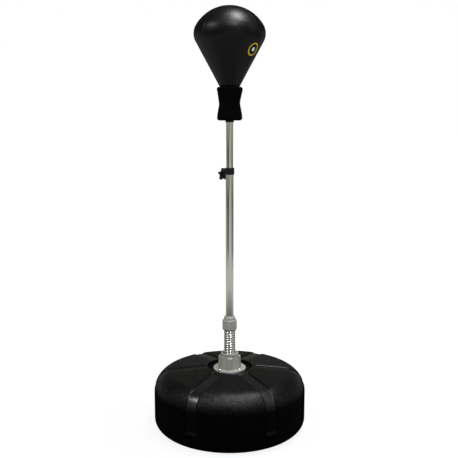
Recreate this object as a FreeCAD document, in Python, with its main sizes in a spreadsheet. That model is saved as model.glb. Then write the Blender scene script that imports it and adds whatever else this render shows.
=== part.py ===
import FreeCAD, Part
import math
import os
import Sketcher

# Free-standing reflex speed bag: a ballasted round base, a heavy coil spring in a bolted socket,
# a telescopic chrome mast with a clamp knob, and a teardrop ball on a padded neck.
# Millimetres, +Z up, origin at the centre of the foot, -Y towards the user.

doc = FreeCAD.newDocument("reflex_speed_bag")
dims = doc.addObject("Spreadsheet::Sheet", "Dims")

DIMENSIONS = {
    # moulded base tank
    "base_radius": 240,
    "base_wall": 4,
    "foot_inner_radius": 150,
    "foot_recess": 5,
    "foot_rounding": 32,
    "shoulder_rounding": 62,
    "shoulder_corner_z": 174,
    "panel_slope": 5.7,
    "well_radius": 71.3,
    "well_floor_z": 183,
    "rim_width": 5.5,
    "rim_rise": 2,
    "channel_count": 6,
    "channel_floor": 32,
    "channel_mouth": 41,
    "channel_depth": 3.2,
    "channel_start": 80,
    "channel_end_z": 54,
    "ballast_gap": 0.5,
    "ballast_top_z": 100,
    # filler neck and its screw cap, on the rear of the top panel
    "filler_offset": 150,
    "filler_recess_radius": 27,
    "filler_seat_z": 172,
    "filler_neck_radius": 16,
    "filler_neck_wall": 4,
    "filler_neck_depth": 20,
    "gasket_thickness": 2,
    "cap_radius": 24,
    "cap_thickness": 8,
    # spring socket on the well floor
    "flange_radius": 51.6,
    "flange_thickness": 5,
    "socket_foot_radius": 33,
    "socket_neck_z": 230,
    "socket_taper": 6.5,
    "socket_top_z": 237,
    "socket_lip_radius": 27.9,
    "socket_mouth_radius": 21.5,
    "socket_floor_z": 197,
    "spring_clearance": 0.4,
    "rib_width": 14,
    "rib_reach": 35.5,
    "rib_top_z": 227,
    "screw_circle": 44,
    "screw_radius": 2.45,
    "washer_radius": 6,
    "washer_thickness": 1.2,
    "insert_radius": 3.7,
    "insert_length": 12,
    "boss_radius": 8,
    "bolt_radius": 4,
    # sway spring
    "spring_radius": 18.5,
    "wire_radius": 3.5,
    "spring_pitch": 7.5,
    "spring_bottom_z": 197.2,
    "spring_top_z": 337,
    "plug_radius": 11.1,
    # coupling and mast tubes
    "coupling_bottom_z": 310.5,
    "coupling_radius": 22.9,
    "coupling_shoulder_z": 343,
    "coupling_top_z": 356,
    "lower_tube_radius": 12.5,
    "tube_wall": 1.2,
    "lower_tube_bottom_z": 341.5,
    "lower_tube_top_z": 820,
    "tube_pin_z": 349,
    "upper_tube_radius": 11,
    "upper_tube_bottom_z": 549,
    "upper_tube_top_z": 1040,
    # clamp
    "collar_radius": 14.5,
    "collar_bottom_z": 802,
    "collar_top_z": 823,
    "clamp_z": 802,
    "clamp_azimuth": 136,
    "clamp_boss_radius": 8,
    "clamp_boss_end": 21,
    "clamp_insert_radius": 5.5,
    "clamp_insert_start": 15.7,
    "pad_radius": 4.4,
    "knob_start": 21.6,
    "knob_radius": 19,
    "knob_thickness": 12.4,
    # neck and ball
    "stem_bottom_z": 961,
    "stem_radius": 16,
    "stem_head_radius": 25,
    "sleeve_bottom_z": 966,
    "sleeve_top_z": 1066,
    "sleeve_waist_z": 1015,
    "sleeve_low_radius": 38.7,
    "sleeve_waist_radius": 32.6,
    "sleeve_top_radius": 41,
    "ball_bottom_z": 1067.5,
    "ball_top_z": 1303.2,
    "ball_widest_z": 1221.8,
    "ball_radius": 108.2,
    "ball_crown_radius": 119,
    "ball_side_radius": 48.2,
    "ball_half_angle": 28.6,
    "cover_thickness": 3,
    "bladder_thickness": 2,
    "valve_radius": 4.5,
}

# Working fits: a turning or sliding fit, and the gap between pieces that are only pushed together
RUNNING_FIT = 0.05
FACE_GAP = 0.1

for row, (alias, value) in enumerate(DIMENSIONS.items(), start=1):
    dims.set("A%d" % row, alias)
    dims.set("B%d" % row, str(value))
    dims.setAlias("B%d" % row, alias)
doc.recompute()


def size(expression):
    """The number that an expression in the sheet's aliases stands for."""
    return float(dims.evalExpression(str(expression)))


def bind(target, path, expression):
    """Drives one property of an object by an expression in the sheet's aliases."""
    text = str(expression)
    for alias in sorted(DIMENSIONS, key=len, reverse=True):
        text = text.replace(alias, "@%d@" % list(DIMENSIONS).index(alias))
    for index, alias in enumerate(DIMENSIONS):
        text = text.replace("@%d@" % index, "Dims." + alias)
    target.setExpression(path, text)


def origin_plane(body, role):
    return next(f for f in body.Origin.OriginFeatures if f.Role == role)


def new_body(label):
    body = doc.addObject("PartDesign::Body", label + "_body")
    body.Label = label
    return body


def new_sketch(body, name, role, height=None):
    """A sketch on one of the body's own origin planes, raised to a height where one is given."""
    sketch = body.newObject("Sketcher::SketchObject", name)
    sketch.AttachmentSupport = [(origin_plane(body, role), "")]
    sketch.MapMode = "FlatFace"
    if height is not None:
        bind(sketch, ".AttachmentOffset.Base.z", height)
    return sketch


def pin_point(sketch, geometry, end, across, up):
    """Ties one sketch point to the sheet by its distance across and up from the sketch origin."""
    for kind, axis, expression in (("DistanceX", -2, across), ("DistanceY", -1, up)):
        value = size(expression)
        if abs(value) < 1e-9:
            sketch.addConstraint(Sketcher.Constraint("PointOnObject", geometry, end, axis))
            continue
        index = sketch.addConstraint(Sketcher.Constraint(kind, -1, 1, geometry, end, value))
        bind(sketch, "Constraints[%d]" % index, expression)


def draw_outline(sketch, points):
    """A closed outline. A point is (across, up), or (across, up, radius) where the side that
    leads to it from the point before is an arc of that radius, bulging to the right of the way
    round; a negative radius bulges to the left."""
    count = len(points)
    spots = [FreeCAD.Vector(size(p[0]), size(p[1]), 0) for p in points]
    for index in range(count):
        start = spots[index]
        stop = spots[(index + 1) % count]
        following = points[(index + 1) % count]
        if len(following) == 2:
            sketch.addGeometry(Part.LineSegment(start, stop))
            continue
        radius = size(following[2])
        chord = stop - start
        right = FreeCAD.Vector(chord.y, -chord.x, 0).normalize()
        bulge = abs(radius) - math.sqrt(radius ** 2 - (chord.Length / 2) ** 2)
        middle = (start + stop) * 0.5 + right * math.copysign(bulge, radius)
        arc_ends = (start, stop) if radius > 0 else (stop, start)
        sketch.addGeometry(Part.Arc(arc_ends[0], middle, arc_ends[1]))
    ends = []
    for index in range(count):
        geometry = sketch.Geometry[index]
        forward = (geometry.StartPoint - spots[index]).Length < 1e-6
        ends.append((1, 2) if forward else (2, 1))
    for index in range(count):
        after = (index + 1) % count
        joint = Sketcher.Constraint("Coincident", index, ends[index][1], after, ends[after][0])
        sketch.addConstraint(joint)
        pin_point(sketch, index, ends[index][0], points[index][0], points[index][1])
        following = points[after]
        if len(following) == 3:
            radius = abs(size(following[2]))
            number = sketch.addConstraint(Sketcher.Constraint("Radius", index, radius))
            bind(sketch, "Constraints[%d]" % number, "abs(%s)" % following[2])


def revolve(body, name, points):
    """A solid of revolution about Z from an outline in the XZ plane."""
    sketch = new_sketch(body, name + "_profile", "XZ_Plane")
    draw_outline(sketch, points)
    turned = body.newObject("PartDesign::Revolution", name)
    turned.Profile = sketch
    turned.ReferenceAxis = (sketch, ["V_Axis"])
    turned.Angle = 360
    doc.recompute()
    return turned


def turned_part(label, points):
    body = new_body(label)
    revolve(body, label + "_turning", points)
    return body


def rounded(body, name, radius, wanted):
    """Rounds the circular edges of the body's tip that lie at the wanted (radius, height) pairs."""
    before = body.Tip
    names = []
    for index, edge in enumerate(before.Shape.Edges, start=1):
        if not isinstance(edge.Curve, Part.Circle):
            continue
        for ring_radius, height in wanted:
            at_radius = abs(edge.Curve.Radius - size(ring_radius)) < 0.01
            at_height = abs(edge.Curve.Center.z - size(height)) < 0.01
            if at_radius and at_height:
                names.append("Edge%d" % index)
    fillet = body.newObject("PartDesign::Fillet", name)
    fillet.Base = (before, names)
    bind(fillet, "Radius", radius)
    doc.recompute()
    return fillet


def cylinder(name, radius, length, place=("0", "0", "0"), axis=None):
    """A plain cylinder from a point along an axis, +Z where none is given."""
    rod = doc.addObject("Part::Cylinder", name)
    bind(rod, "Radius", radius)
    bind(rod, "Height", length)
    if axis is not None:
        rod.Placement.Rotation = FreeCAD.Rotation(FreeCAD.Vector(0, 0, 1), axis)
    for letter, expression in zip("xyz", place):
        bind(rod, ".Placement.Base." + letter, expression)
    return rod


def box(name, lengths, place):
    block = doc.addObject("Part::Box", name)
    for side, expression in zip(("Length", "Width", "Height"), lengths):
        bind(block, side, expression)
    for letter, expression in zip("xyz", place):
        bind(block, ".Placement.Base." + letter, expression)
    return block


def cut(label, base, tools):
    """The base less every tool."""
    tool = tools[0]
    if len(tools) > 1:
        tool = doc.addObject("Part::MultiFuse", label + "_tools")
        tool.Shapes = tools
    result = doc.addObject("Part::Cut", label + "_cut")
    result.Base = base
    result.Tool = tool
    result.Label = label
    return result


def fuse(label, shapes):
    result = doc.addObject("Part::MultiFuse", label + "_fuse")
    result.Shapes = shapes
    result.Refine = True
    result.Label = label
    return result


def compound(label, shapes):
    """Like fasteners that share one node, each a solid of its own."""
    result = doc.addObject("Part::Compound", label + "_set")
    result.Links = shapes
    result.Label = label
    return result


def ring_places(count, first_angle, radius):
    """Evenly spaced places round Z, as pairs of expressions."""
    for index in range(count):
        angle = first_angle + 360 * index / count
        yield "%s * cos(%g)" % (radius, angle), "%s * sin(%g)" % (radius, angle)


nodes = []


def keep(part):
    nodes.append(part)
    return part


# ---- Base tank ---------------------------------------------------------------------------------

def tank(label, inset):
    """The base's outline, drawn in by an inset: 0 is the outside, the wall thickness the inside."""
    flat = "(%s)" % inset
    panel = "shoulder_corner_z + (base_radius - %s) * tan(panel_slope) - " + flat + " / cos(panel_slope)"
    wall_radius = "base_radius - " + flat
    rim_radius = "well_radius + rim_width"
    outline = [
        ("0", "foot_recess + " + flat),
        ("foot_inner_radius + " + flat, "foot_recess + " + flat),
        ("foot_inner_radius + " + flat, flat),
        (wall_radius, flat),
        (wall_radius, panel % ("(%s)" % wall_radius)),
    ]
    if inset == "0":
        outline += [
            (rim_radius, panel % ("(%s)" % rim_radius)),
            (rim_radius, (panel % ("(%s)" % rim_radius)) + " + rim_rise"),
            ("well_radius", (panel % ("(%s)" % rim_radius)) + " + rim_rise"),
            ("well_radius", "well_floor_z"),
            ("0", "well_floor_z"),
        ]
    else:
        inner_rim = "well_radius + " + flat
        outline += [
            (inner_rim, panel % ("(%s)" % inner_rim)),
            (inner_rim, "well_floor_z - " + flat),
            ("0", "well_floor_z - " + flat),
        ]
    body = new_body(label + "_body")
    revolve(body, label + "_turning", outline)
    rounded(body, label + "_foot", "foot_rounding - " + flat, [(wall_radius, flat)])
    corner = panel % ("(%s)" % wall_radius)
    rounded(body, label + "_shoulder", "shoulder_rounding - " + flat, [(wall_radius, corner)])
    return body


def channel_cutters(name, inset):
    """Six shallow channels from the well over the shoulder and down the wall. Each is a trough
    swept along the tank's outline; inside the wall it is deeper and wider by the inset."""
    slope = math.radians(size("panel_slope"))
    radius = size("base_radius")
    rounding = size("shoulder_rounding")
    start_x = size("channel_start")
    corner_z = size("shoulder_corner_z")
    wall_z = corner_z - rounding * math.tan((math.pi / 2 - slope) / 2)
    centre = FreeCAD.Vector(radius - rounding, 0, wall_z)
    start = FreeCAD.Vector(start_x, 0, corner_z + (radius - start_x) * math.tan(slope))
    outward = FreeCAD.Vector(math.sin(slope), 0, math.cos(slope))
    half = (math.pi / 2 - slope) / 2
    bend = centre + outward * rounding
    middle = centre + FreeCAD.Vector(math.cos(half), 0, math.sin(half)) * rounding
    wall = FreeCAD.Vector(radius, 0, wall_z)
    foot = FreeCAD.Vector(radius, 0, size("channel_end_z"))
    edges = [Part.LineSegment(start, bend), Part.Arc(bend, middle, wall), Part.LineSegment(wall, foot)]
    path = Part.Wire([edge.toShape() for edge in edges])

    depth = size("channel_depth") + inset
    above = 8
    half_floor = size("channel_floor") / 2 + inset
    side_run = (size("channel_mouth") - size("channel_floor")) / 2 / size("channel_depth")
    half_top = half_floor + side_run * (depth + above)
    across = FreeCAD.Vector(0, 1, 0)
    corners = [
        start - across * half_floor - outward * depth,
        start + across * half_floor - outward * depth,
        start + across * half_top + outward * above,
        start - across * half_top + outward * above,
    ]
    trough = Part.makePolygon(corners + corners[:1])
    channel = path.makePipeShell([trough], True, False)
    count = int(size("channel_count"))
    turned = []
    for index in range(count):
        copy = channel.copy()
        copy.rotate(FreeCAD.Vector(0, 0, 0), FreeCAD.Vector(0, 0, 1), index * 360 / count)
        turned.append(copy)
    cutters = doc.addObject("Part::Feature", name)
    cutters.Shape = Part.makeCompound(turned)
    return cutters


FILLER_PLACE = ("0", "filler_offset")
screw_places = list(ring_places(4, 45, "screw_circle"))

# The hollow inside leaves bosses for the screws, and a pan and a pipe round the filler
screw_bosses = [
    cylinder("screw_boss_%d" % i, "boss_radius", "30", (x, y, "well_floor_z - base_wall - 20"))
    for i, (x, y) in enumerate(screw_places)
]
filler_walls = [
    cylinder("filler_pan", "filler_recess_radius + base_wall", "60",
             FILLER_PLACE + ("filler_seat_z - base_wall",)),
    cylinder("filler_pipe", "filler_neck_radius + filler_neck_wall", "60",
             FILLER_PLACE + ("filler_seat_z - filler_neck_depth",)),
]
inner_channels = channel_cutters("void_channels", size("base_wall"))
void = cut("tank_void", tank("void", "base_wall"), [inner_channels] + screw_bosses + filler_walls)

insert_holes = [
    cylinder("insert_hole_%d" % i, "insert_radius + 0.02", "insert_length + 0.2",
             (x, y, "well_floor_z - insert_length"))
    for i, (x, y) in enumerate(screw_places)
]
filler_cuts = [
    cylinder("filler_recess", "filler_recess_radius", "60", FILLER_PLACE + ("filler_seat_z",)),
    cylinder("filler_mouth", "filler_neck_radius", "80",
             FILLER_PLACE + ("filler_seat_z - filler_neck_depth - 10",)),
]
outer_channels = channel_cutters("outside_channels", 0)
keep(cut("base_shell", tank("outside", "0"), [void, outer_channels] + filler_cuts + insert_holes))

ballast_inset = "base_wall + ballast_gap"
above_sand = box("above_sand", ("3 * base_radius", "3 * base_radius", "base_radius"),
                 ("-1.5 * base_radius", "-1.5 * base_radius", "ballast_top_z"))
keep(cut("sand_ballast", tank("sand", ballast_inset), [
    above_sand,
    channel_cutters("sand_channels", size(ballast_inset)),
]))


def place_copies(name, build, places, bottom):
    """The same fastener at each place round a circle, as separate solids."""
    copies = []
    for index, (x, y) in enumerate(places):
        piece = build("%s_%d" % (name, index))
        for letter, expression in zip("xyz", (x, y, bottom)):
            bind(piece, ".Placement.Base." + letter, expression)
        copies.append(piece)
    return copies


def insert(label):
    return turned_part(label, [
        ("screw_radius + 0.03", "0"),
        ("insert_radius", "0"),
        ("insert_radius", "insert_length - 0.1"),
        ("screw_radius + 0.03", "insert_length - 0.1"),
    ])


keep(compound("base_inserts", place_copies(
    "base_insert", insert, screw_places, "well_floor_z - insert_length + 0.05")))


# ---- Filler cap --------------------------------------------------------------------------------

gasket = turned_part("filler_gasket", [
    ("filler_neck_radius + 0.6", "filler_seat_z"),
    ("cap_radius - 1.5", "filler_seat_z"),
    ("cap_radius - 1.5", "filler_seat_z + gasket_thickness"),
    ("filler_neck_radius + 0.6", "filler_seat_z + gasket_thickness"),
])
bind(gasket, ".Placement.Base.y", "filler_offset")
keep(gasket)

cap_bottom = "filler_seat_z + gasket_thickness + 0.02"
cap_top = cap_bottom + " + cap_thickness"
plug_bottom = "filler_seat_z - filler_neck_depth + 4"
cap_disc = turned_part("cap_disc", [
    ("0", cap_bottom + " + 1"),
    ("filler_neck_radius - 3", cap_bottom + " + 1"),
    ("filler_neck_radius - 3", plug_bottom),
    ("filler_neck_radius - %g" % RUNNING_FIT, plug_bottom),
    ("filler_neck_radius - %g" % RUNNING_FIT, cap_bottom),
    ("cap_radius", cap_bottom),
    ("cap_radius", cap_top + " - 2"),
    ("cap_radius - 2", cap_top, "2"),
    ("cap_radius - 4.5", cap_top),
    ("cap_radius - 6", cap_top + " - 5"),
    ("0", cap_top + " - 5"),
])
bind(cap_disc, ".Placement.Base.y", "filler_offset")
grip_bar = box("cap_grip", ("2 * cap_radius - 9", "6", "6"),
               ("4.5 - cap_radius", "filler_offset - 3", cap_top + " - 5.5"))
keep(fuse("filler_cap", [cap_disc, grip_bar]))


# ---- Spring socket -----------------------------------------------------------------------------

flange_top = "well_floor_z + flange_thickness"
socket_ring = turned_part("socket_ring", [
    ("bolt_radius + 0.1", "well_floor_z"),
    ("flange_radius - 1", "well_floor_z"),
    ("flange_radius", "well_floor_z + 1"),
    ("flange_radius", flange_top + " - 1.5"),
    ("flange_radius - 1.5", flange_top, "1.5"),
    ("socket_foot_radius - 4", flange_top),
    ("socket_lip_radius - 3", "socket_neck_z"),
    ("socket_lip_radius", "socket_neck_z + 3", "-6"),
    ("socket_lip_radius", "socket_top_z - 2.5"),
    ("socket_lip_radius - 2.5", "socket_top_z", "2.5"),
    ("socket_mouth_radius + 1.5", "socket_top_z"),
    ("socket_mouth_radius", "socket_top_z - 1.5", "1.5"),
    ("spring_radius + spring_clearance", "socket_top_z - 9"),
    ("spring_radius + spring_clearance", "socket_floor_z"),
    ("bolt_radius + 0.1", "socket_floor_z"),
])


def facetted_body():
    """The twelve-sided wall of the socket, drawn in towards the lip."""
    body = new_body("socket_facets")
    sketch = new_sketch(body, "socket_facets_outline", "XY_Plane", flange_top + " - 1")
    corners = [("socket_foot_radius * cos(%g)" % a, "socket_foot_radius * sin(%g)" % a)
               for a in range(15, 375, 30)]
    draw_outline(sketch, corners)
    pad = body.newObject("PartDesign::Pad", "socket_facets_pad")
    pad.Profile = sketch
    bind(pad, "Length", "socket_neck_z - well_floor_z - flange_thickness + 2")
    bind(pad, "TaperAngle", "-socket_taper")
    doc.recompute()
    return body


def rib(index):
    """A gusset from the flange to near the lip, its top sloping outwards."""
    body = new_body("socket_rib_%d" % index)
    sketch = new_sketch(body, "socket_rib_%d_side" % index, "XZ_Plane")
    draw_outline(sketch, [
        ("socket_foot_radius - 8", flange_top + " - 1"),
        ("rib_reach + 1", flange_top + " - 1"),
        ("rib_reach - 1", "rib_top_z - 3"),
        ("socket_lip_radius - 1", "rib_top_z"),
        ("socket_foot_radius - 8", "rib_top_z"),
    ])
    pad = body.newObject("PartDesign::Pad", "socket_rib_%d_pad" % index)
    pad.Profile = sketch
    pad.Midplane = True
    bind(pad, "Length", "rib_width")
    body.Placement.Rotation = FreeCAD.Rotation(FreeCAD.Vector(0, 0, 1), 90 * index)
    doc.recompute()
    return body


socket_wall = cut("socket_wall", facetted_body(), [
    cylinder("facet_bore", "spring_radius + spring_clearance", "60", ("0", "0", "socket_floor_z")),
    cylinder("facet_bolt_hole", "bolt_radius + 0.1", "60", ("0", "0", "well_floor_z")),
])
rib_bore = cylinder("rib_bore", "spring_radius + spring_clearance + 2", "60", ("0", "0", "well_floor_z"))
ribs = cut("socket_ribs", fuse("rib_set", [rib(index) for index in range(4)]), [rib_bore])
bolt_pocket = cylinder("bolt_head_pocket", "9", "7", ("0", "0", "well_floor_z"))
flange_holes = [
    cylinder("screw_hole_%d" % i, "screw_radius + 0.3", "20", (x, y, "well_floor_z - 5"))
    for i, (x, y) in enumerate(screw_places)
]
flange_pockets = [
    cylinder("flange_pocket_%d" % i, "5", "10", (x, y, flange_top + " - 2"))
    for i, (x, y) in enumerate(ring_places(4, 0, "screw_circle + 1"))
]
moulding = fuse("socket_casting", [socket_ring, socket_wall, ribs])
keep(cut("spring_socket", moulding, [bolt_pocket] + flange_holes + flange_pockets))


def washer(label):
    return turned_part(label, [
        ("screw_radius + 0.25", "0"),
        ("washer_radius", "0"),
        ("washer_radius", "washer_thickness"),
        ("screw_radius + 0.25", "washer_thickness"),
    ])


def pan_screw(label):
    """A pan-head screw standing on its head's underside, with a cross recess in the head."""
    screw = turned_part(label + "_turned", [
        ("0", "-insert_length - flange_thickness + 1.5"),
        ("screw_radius - 0.6", "-insert_length - flange_thickness + 1.5"),
        ("screw_radius", "-insert_length - flange_thickness + 2.4"),
        ("screw_radius", "0"),
        ("2 * screw_radius", "0"),
        ("2 * screw_radius", "1.2"),
        ("2 * screw_radius - 1.8", "3", "2.6"),
        ("0", "3"),
    ])
    slots = [box("%s_slot_%d" % (label, i), lengths, place) for i, (lengths, place) in enumerate([
        (("5", "1.1", "3"), ("-2.5", "-0.55", "1.4")),
        (("1.1", "5", "3"), ("-0.55", "-2.5", "1.4")),
    ])]
    return cut(label, screw, slots)


washer_seat = flange_top + " + 0.02"
keep(compound("socket_washers", place_copies("socket_washer", washer, screw_places, washer_seat)))
keep(compound("socket_screws", place_copies(
    "socket_screw", pan_screw, screw_places, washer_seat + " + washer_thickness + 0.02")))

keep(turned_part("lower_spring_plug", [
    ("bolt_radius + 0.05", "socket_floor_z + 0.02"),
    ("plug_radius", "socket_floor_z + 0.02"),
    ("plug_radius", "socket_floor_z + 33"),
    ("plug_radius - 2.5", "socket_floor_z + 36"),
    ("0", "socket_floor_z + 36"),
    ("0", "socket_floor_z + 20"),
    ("bolt_radius + 0.05", "socket_floor_z + 20"),
]))


def hexagon_bolt(label, across_flats, head, length, top):
    """A hexagon bolt pointing up, its head's upper face at a height."""
    body = new_body(label + "_head")
    sketch = new_sketch(body, label + "_hexagon", "XY_Plane", "%s - %g" % (top, head))
    corner = across_flats / math.sqrt(3)
    draw_outline(sketch, [("%.4f * cos(%d)" % (corner, a), "%.4f * sin(%d)" % (corner, a))
                          for a in range(0, 360, 60)])
    pad = body.newObject("PartDesign::Pad", label + "_head_pad")
    pad.Profile = sketch
    pad.Length = head
    doc.recompute()
    shank = turned_part(label + "_shank", [
        ("0", top + " - 1"),
        ("bolt_radius", top + " - 1"),
        ("bolt_radius", "%s + %g" % (top, length - 1)),
        ("bolt_radius - 1", "%s + %g" % (top, length)),
        ("0", "%s + %g" % (top, length)),
    ])
    return fuse(label, [body, shank])


pocket_top = "well_floor_z + 7"
keep(turned_part("anchor_washer", [
    ("bolt_radius + 0.15", pocket_top + " - 1.5"),
    ("8.5", pocket_top + " - 1.5"),
    ("8.5", pocket_top + " - 0.02"),
    ("bolt_radius + 0.15", pocket_top + " - 0.02"),
]))
keep(hexagon_bolt("anchor_bolt", 13, 5.2, 24, pocket_top + " - 1.55"))


# ---- Sway spring -------------------------------------------------------------------------------

def coil_spring(label):
    """Round wire wound close on a helix, its ends left square."""
    wire = size("wire_radius")
    mean = size("spring_radius") - wire
    low = size("spring_bottom_z") + wire
    high = size("spring_top_z") - wire
    helix = Part.makeHelix(size("spring_pitch"), high - low, mean)
    helix.translate(FreeCAD.Vector(0, 0, low))
    start = helix.Edges[0].valueAt(helix.Edges[0].FirstParameter)
    heading = helix.Edges[0].tangentAt(helix.Edges[0].FirstParameter)
    section = Part.Wire(Part.makeCircle(wire, start, heading))
    path = Part.Wire(helix.Edges)
    coil = path.makePipeShell([section], True, True)
    spring = doc.addObject("Part::Feature", label + "_coil")
    spring.Shape = coil
    spring.Label = label
    return spring


keep(coil_spring("sway_spring"))


# ---- Coupling and lower tube -------------------------------------------------------------------

plug_shelf = "spring_top_z + 0.2"
spigot_radius = "lower_tube_radius - tube_wall - %g" % RUNNING_FIT
plug_turned = turned_part("upper_plug_turned", [
    ("0", "spring_top_z - 32"),
    ("plug_radius - 2.5", "spring_top_z - 32"),
    ("plug_radius", "spring_top_z - 29"),
    ("plug_radius", plug_shelf),
    ("spring_radius", plug_shelf),
    ("spring_radius", "lower_tube_bottom_z - 0.1"),
    (spigot_radius, "lower_tube_bottom_z - 0.1"),
    (spigot_radius, "lower_tube_bottom_z + 29"),
    (spigot_radius + " - 2", "lower_tube_bottom_z + 31"),
    ("0", "lower_tube_bottom_z + 31"),
])
ALONG_X = FreeCAD.Vector(1, 0, 0)


def cross_hole(name, radius):
    return cylinder(name, radius, "60", ("-30", "0", "tube_pin_z"), ALONG_X)


keep(cut("upper_spring_plug", plug_turned, [cross_hole("plug_pin_hole", "2.03")]))
tube_pin = cylinder("tube_pin_rod", "2", "2 * lower_tube_radius - 0.4",
                    ("0.2 - lower_tube_radius", "0", "tube_pin_z"), ALONG_X)
tube_pin.Label = "tube_pin"
keep(tube_pin)

keep(turned_part("spring_coupling", [
    ("spring_radius + spring_clearance", "coupling_bottom_z"),
    ("spring_radius + spring_clearance + 0.6", "coupling_bottom_z"),
    ("coupling_radius", "coupling_bottom_z + 6", "9"),
    ("coupling_radius", "coupling_shoulder_z - 3"),
    ("coupling_radius - 3", "coupling_shoulder_z", "3"),
    ("18", "coupling_shoulder_z"),
    ("17.2", "coupling_top_z - 4"),
    ("14.6", "coupling_top_z", "4.2"),
    ("lower_tube_radius + 0.1", "coupling_top_z"),
    ("lower_tube_radius + 0.1", "lower_tube_bottom_z + 0.2"),
    ("spring_radius + spring_clearance", "lower_tube_bottom_z + 0.2"),
]))

CLAMP_ANGLE = math.radians(size("clamp_azimuth"))
CLAMP_WAY = FreeCAD.Vector(math.cos(CLAMP_ANGLE), math.sin(CLAMP_ANGLE), 0)


def along_clamp(distance):
    """The place at a distance from the mast's axis along the clamp screw's axis."""
    return ("(%s) * cos(clamp_azimuth)" % distance, "(%s) * sin(clamp_azimuth)" % distance, "clamp_z")


def clamp_cylinder(name, radius, start, end):
    return cylinder(name, radius, "(%s) - (%s)" % (end, start), along_clamp(start), CLAMP_WAY)


def tube(label, radius, bottom, top):
    return turned_part(label, [
        (radius + " - tube_wall", bottom),
        (radius, bottom),
        (radius, top),
        (radius + " - tube_wall", top),
    ])


keep(cut("lower_tube", tube("lower_tube_drawn", "lower_tube_radius", "lower_tube_bottom_z",
                            "lower_tube_top_z"), [
    cross_hole("tube_pin_hole", "2.03"),
    clamp_cylinder("tube_pad_hole", "pad_radius + 0.1", "5", "20"),
]))


# ---- Clamp -------------------------------------------------------------------------------------

sleeve_bore = "lower_tube_radius + 0.05"
collar_ring = turned_part("collar_ring", [
    (sleeve_bore, "collar_bottom_z"),
    ("collar_radius - 0.6", "collar_bottom_z"),
    ("collar_radius", "collar_bottom_z + 0.6"),
    ("collar_radius", "collar_top_z - 2"),
    ("collar_radius - 2", "collar_top_z", "2"),
    ("upper_tube_radius + %g" % RUNNING_FIT, "collar_top_z"),
    ("upper_tube_radius + %g" % RUNNING_FIT, "lower_tube_top_z + 0.1"),
    (sleeve_bore, "lower_tube_top_z + 0.1"),
])
skirt_ring = turned_part("collar_skirt", [
    (sleeve_bore, "clamp_z - clamp_boss_radius - 2"),
    ("collar_radius", "clamp_z - clamp_boss_radius - 2"),
    ("collar_radius", "collar_bottom_z + 1"),
    (sleeve_bore, "collar_bottom_z + 1"),
])
skirt_side = doc.addObject("Part::Box", "skirt_side")
bind(skirt_side, "Length", "20")
bind(skirt_side, "Width", "2 * clamp_boss_radius + 2")
bind(skirt_side, "Height", "30")
skirt_side.Placement.Rotation = FreeCAD.Rotation(FreeCAD.Vector(0, 0, 1), size("clamp_azimuth"))
bind(skirt_side, ".Placement.Base.x", "(clamp_boss_radius + 1) * sin(clamp_azimuth)")
bind(skirt_side, ".Placement.Base.y", "-(clamp_boss_radius + 1) * cos(clamp_azimuth)")
bind(skirt_side, ".Placement.Base.z", "clamp_z - 20")
skirt = doc.addObject("Part::Common", "collar_skirt_part")
skirt.Base = skirt_ring
skirt.Tool = skirt_side
boss = clamp_cylinder("collar_boss", "clamp_boss_radius", "lower_tube_radius - 0.5", "clamp_boss_end")
tube_way = cylinder("collar_tube_way", sleeve_bore, "lower_tube_top_z + 0.1 - 780", ("0", "0", "780"))
keep(cut("clamp_collar", fuse("collar_moulding", [collar_ring, skirt, boss]), [
    tube_way,
    clamp_cylinder("pad_way", "pad_radius + 0.1", "5", "clamp_insert_start + 0.1"),
    clamp_cylinder("clamp_nut_seat", "clamp_insert_radius + 0.02", "clamp_insert_start", "40"),
]))
nut_rod = clamp_cylinder("nut_rod", "clamp_insert_radius", "clamp_insert_start + 0.05", "clamp_boss_end")
nut_bore = clamp_cylinder("nut_bore", "bolt_radius + %g" % RUNNING_FIT, "5", "40")
keep(cut("clamp_nut", nut_rod, [nut_bore]))

pad_gap = "upper_tube_radius + %g" % FACE_GAP
pad_disc = clamp_cylinder("pressure_pad_disc", "pad_radius", pad_gap, "clamp_insert_start - 2.6")
pad_disc.Label = "pressure_pad"
keep(pad_disc)

stud = clamp_cylinder("knob_stud_rod", "bolt_radius", "clamp_insert_start - 2.5", "knob_start + 9")
stud.Label = "knob_stud"
keep(stud)


def star_knob(label):
    """A five-pointed knob: a round blank with five deep scallops, its rim rounded, on the clamp's
    axis, with one point up."""
    body = new_body(label + "_blank")
    revolve(body, label + "_turning", [
        ("0", "0"),
        ("knob_radius - 3", "0"),
        ("knob_radius", "3", "3"),
        ("knob_radius", "knob_thickness - 3"),
        ("knob_radius - 3", "knob_thickness", "3"),
        ("0", "knob_thickness"),
    ])
    first_scallop = size("clamp_azimuth") - 72
    scallops = [cylinder("knob_scallop_%d" % i, "10.5", "40", (x, y, "-5"))
                for i, (x, y) in enumerate(ring_places(5, first_scallop, "knob_radius + 3.5"))]
    stud_hole = cylinder("knob_stud_hole", "bolt_radius + 0.03", "9.1", ("0", "0", "-0.05"))
    knob = cut(label, body, scallops + [stud_hole])
    knob.Placement.Rotation = FreeCAD.Rotation(FreeCAD.Vector(0, 0, 1), CLAMP_WAY)
    for letter, expression in zip("xyz", along_clamp("knob_start")):
        bind(knob, ".Placement.Base." + letter, expression)
    return knob


keep(star_knob("clamp_knob"))


# ---- Upper mast --------------------------------------------------------------------------------

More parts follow.
